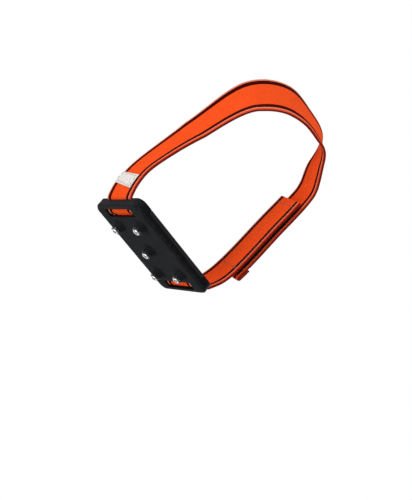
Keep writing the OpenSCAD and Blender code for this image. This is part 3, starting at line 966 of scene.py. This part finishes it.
def rubberFinish(p, name, gloss, moreLight, wear):
    # black rubber with a fine grain, cloudy bloom, a scuffed lower edge, worn crests on the ribs and painted
    # light on the bosses
    material, shader, place = startFinish(name, {"Specular IOR Level": gloss})
    x, y, z = place.axes()
    depth = 0 - z
    below = depth - p["thickness"] * mm
    endRim, sideRim = ((p[k] / 2 - p["scuffWidth"]) * mm for k in ("length", "width"))
    rim = (abs(x) - endRim).larger(abs(y) - sideRim)
    scuffStart, scuffFull = (p["thickness"] - h for h in p["scuffHeights"])
    edge = rim.rise(0, p["scuffFade"], mm) * depth.rise(scuffStart, scuffFull, mm)
    bloom = place.noise(p["bloom"], mm)
    grain = place.noise(p["grain"], mm)
    crest = below.rise(p["crestStart"], p["ribHeight"], mm) * (p["leastWear"] + bloom) * wear
    boss = below.rise(p["ribHeight"], p["bossFull"], mm) * p["bossPaintedLight"]  # bosses painted lighter, as light that their sloping sides get less of
    scuff = edge * place.noise(p["scuffCloud"], mm).rise(*p["scuffEdge"]) * p["scuffShare"]
    rub = scuff.larger(crest)
    clean = (addUp(p["light"], bloom, grain) + moreLight + boss).tint(*p["rubber"])
    feed(shader, {
        "Base Color": rub.tint(clean, p["scuff"]),
        "Roughness": addUp(p["rough"], bloom, rub),
        "Normal": grain.relief(*p["relief"]),
    })
    return material


padFinish, ribFinish, backFinish = (rubberFinish(pad, name, *look) for name, look in pad["looks"].items())
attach(hatchedFace(pad, ribFinish), "pad")


# Studs: turned steel jacket with a rougher recess round the pin painted dark as shade, knurled collar,
# carbide pin
jacket = {
    "steel": (paint(214, 216, 220), paint(250, 250, 251)),
    # dark colour painted as shade in the recess round the pin
    "shadedRecess": paint(38, 40, 44),
    "recess": (1.45, 1.55),  # radii between which the painted shade of the recess ends
    "lathe": 0.11,  # pitch of the turning marks
    "latheSlope": 0.7,
    "grain": (0.3, 2.0),
    "marks": (0.0, 0.6, 0.6),  # turning marks, grain
    "cloud": (1.6, 4.0),
    "cloudEdge": (0.3, 0.7),
    "rough": (0.2, 0.14, 0.4),  # marks, shaded recess
    "relief": (0.012, 0.4),
}
collar = {
    "steel": (paint(84, 87, 93), paint(196, 199, 205)),
    "rim": (3.1, 3.35),  # radii between which wear starts
    "cloud": (0.7, 3.0),
    "cloudEdge": (0.3, 0.65),
    "grain": (0.25, 2.0),
    "rough": (0.45, -0.15),  # wear
    "relief": (0.02, 0.4),
}
pin = {
    "carbide": (paint(132, 135, 141), paint(196, 199, 204)),
    "metallic": 0.9,
    "tip": (0.3, 0.8),  # radii between which the bright tip ends
    "grain": (0.16, 4.0),
    "light": (0.0, 0.5, 0.6),  # tip, grain
    "rough": (0.42, -0.14, 0.1),  # tip, grain
    "relief": (0.015, 0.5),
}


def dressNode(node, finish):
    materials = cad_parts[node].data.materials
    materials.clear()
    materials.append(finish)


def fromAxis(place, centre):
    # distance from a stud's axis, and height
    x, y, z = place.axes()
    dx, dy = x - centre[0] * mm, y - centre[1] * mm
    return (dx * dx + dy * dy).root(), z


def jacketFinish(name, centre):
    material, shader, place = startFinish(name, {"Metallic": 1.0})
    radius, height = fromAxis(place, centre)
    lathe = (radius + height * jacket["latheSlope"]).wave(jacket["lathe"] * mm)
    marks = addUp(jacket["marks"], lathe, place.noise(jacket["grain"], mm))
    # the recess round the pin is painted dark as shade and made rougher
    shadedRecess = 1 - radius.rise(*jacket["recess"], mm)
    clean = place.noise(jacket["cloud"], mm).rise(*jacket["cloudEdge"]).tint(*jacket["steel"])
    feed(shader, {
        "Base Color": shadedRecess.tint(clean, jacket["shadedRecess"]),
        "Roughness": addUp(jacket["rough"], marks, shadedRecess),
        "Normal": marks.relief(*jacket["relief"]),
    })
    return material


def collarFinish(name, centre):
    material, shader, place = startFinish(name, {"Metallic": 1.0})
    radius, _ = fromAxis(place, centre)
    worn = radius.rise(*collar["rim"], mm) * place.noise(collar["cloud"], mm).rise(*collar["cloudEdge"])
    feed(shader, {
        "Base Color": worn.tint(*collar["steel"]),
        "Roughness": addUp(collar["rough"], worn),
        "Normal": place.noise(collar["grain"], mm).relief(*collar["relief"]),
    })
    return material


def pinFinish(name, centre):
    material, shader, place = startFinish(name, {"Metallic": pin["metallic"]})
    radius, _ = fromAxis(place, centre)
    tip = 1 - radius.rise(*pin["tip"], mm)  # worn bright
    grain = place.noise(pin["grain"], mm)
    feed(shader, {
        "Base Color": addUp(pin["light"], tip, grain).tint(*pin["carbide"]),
        "Roughness": addUp(pin["rough"], tip, grain),
        "Normal": grain.relief(*pin["relief"]),
    })
    return material


dressNode("sole_pad", padFinish)
dressNode("pad_backing", backFinish)
for which, centre in pad["studs"].items():
    dressNode("stud_jacket_" + which, jacketFinish("turnedSteel." + which, centre))
    dressNode("stud_collar_" + which, collarFinish("collarSteel." + which, centre))
    dressNode("carbide_pin_" + which, pinFinish("carbide." + which, centre))
print("finishes:", len(bpy.data.materials))


# Stage: pale floor under the stud tips that only shows from above, and soft light all round
stage = {
    "floorLevel": -15.0,
    "floorReach": 1400,
    "floorFade": (350, 1200),
    "floor": paint(242, 242, 243),
    "floorRough": 0.9,
    "floorSpecular": 0.1,
    "sky": paint(255, 255, 255),
    "ambient": 0.5,
    "toeShade": 0.12,  # share of the white that shiny faces see towards the toe
    "toeTurn": (0.2, 0.65),  # directions between which it comes in, 1 being straight to the toe
    "lampSide": (0.3, 0.95, 0.1),  # a direction that no lamp looks along
    "lamps": {  # place and aim in metres, side of the square in metres, watts
        "overhead": ((0.15, 0.1, 0.95), (0, 0.02, 0.05), 0.7, 4.3),
        "cameraSide": ((0.92, 0.3, 0.12), (0, 0.02, 0.05), 0.6, 3.9),
        "underSide": ((0.35, 0.2, -0.75), (0, 0.0, 0.0), 0.6, 2.8),
        "farSide": ((-0.75, -0.25, 0.35), (0, 0.02, 0.05), 0.7, 2.6),
    },
}


def makeFloor(t):
    half = t["floorReach"] * mm
    level = t["floorLevel"] * mm
    corners = [(x * half, y * half, level) for x, y in ((-1, -1), (1, -1), (1, 1), (-1, 1))]
    mesh = bpy.data.meshes.new("floor")
    mesh.from_pydata(corners, [], [(0, 1, 2, 3)])
    fixed = {"Base Color": t["floor"], "Roughness": t["floorRough"], "Specular IOR Level": t["floorSpecular"]}
    material, shader, place = startFinish("paleFloor", fixed)
    x, y, _ = place.axes()
    near = 1 - (x * x + y * y).root().rise(*t["floorFade"], mm)
    seen = place.make("LightPath", out="Is Camera Ray")
    front = 1 - place.make("NewGeometry", out="Backfacing")
    clear = place.make("BsdfTransparent")
    shown = place.make("MixShader", None, {0: seen * front * near, 1: clear, 2: Wire(shader.outputs[0])})
    output = next(n for n in material.node_tree.nodes if n.type == "OUTPUT_MATERIAL")
    material.node_tree.links.new(shown.socket, output.inputs["Surface"])
    mesh.materials.append(material)
    floor = bpy.data.objects.new("floor", mesh)
    scene.collection.objects.link(floor)


def makeWorld(t):
    # soft light for the object, plain white for the camera, and white with a darker toe side for shiny faces
    world = bpy.data.worlds.new("paleStudio")
    world.use_nodes = True
    scene.world = world
    tree = world.node_tree
    soft = next(n for n in tree.nodes if n.type == "BACKGROUND")
    soft.inputs["Color"].default_value = t["sky"]
    soft.inputs["Strength"].default_value = t["ambient"]
    start = Wire(soft.outputs[0])
    rays = start.make("LightPath").socket.node.outputs
    shiny = Wire(rays["Is Glossy Ray"]).larger(Wire(rays["Is Transmission Ray"]))
    _, toe, _ = start.make("TexCoord", out="Generated").axes()
    white = start.make("Background", None, {"Color": t["sky"], "Strength": 1.0})
    shade = start.make("Background", None, {"Color": t["sky"], "Strength": t["toeShade"]})
    around = start.make("MixShader", None, {0: toe.rise(*t["toeTurn"]), 1: white, 2: shade})
    lit = start.make("MixShader", None, {0: shiny, 1: start, 2: around})
    mixed = start.make("MixShader", None, {0: Wire(rays["Is Camera Ray"]), 1: lit, 2: white})
    output = next(n for n in tree.nodes if n.type == "OUTPUT_WORLD")
    tree.links.new(mixed.socket, output.inputs["Surface"])


def makeLamps(t):
    for name, (place, aim, side, watts) in t["lamps"].items():
        data = bpy.data.lights.new(name, "AREA")
        data.size = side
        data.energy = watts
        lamp = bpy.data.objects.new(name, data)
        back = unit(np.array(place) - np.array(aim))
        lamp.matrix_world = facing(unit(np.cross(t["lampSide"], back)), back, place)
        lamp.visible_camera = False
        scene.collection.objects.link(lamp)


makeFloor(stage)
makeWorld(stage)
makeLamps(stage)
scene.view_settings.view_transform = "Standard"
print("stage: floor, world and", len(stage["lamps"]), "lamps")
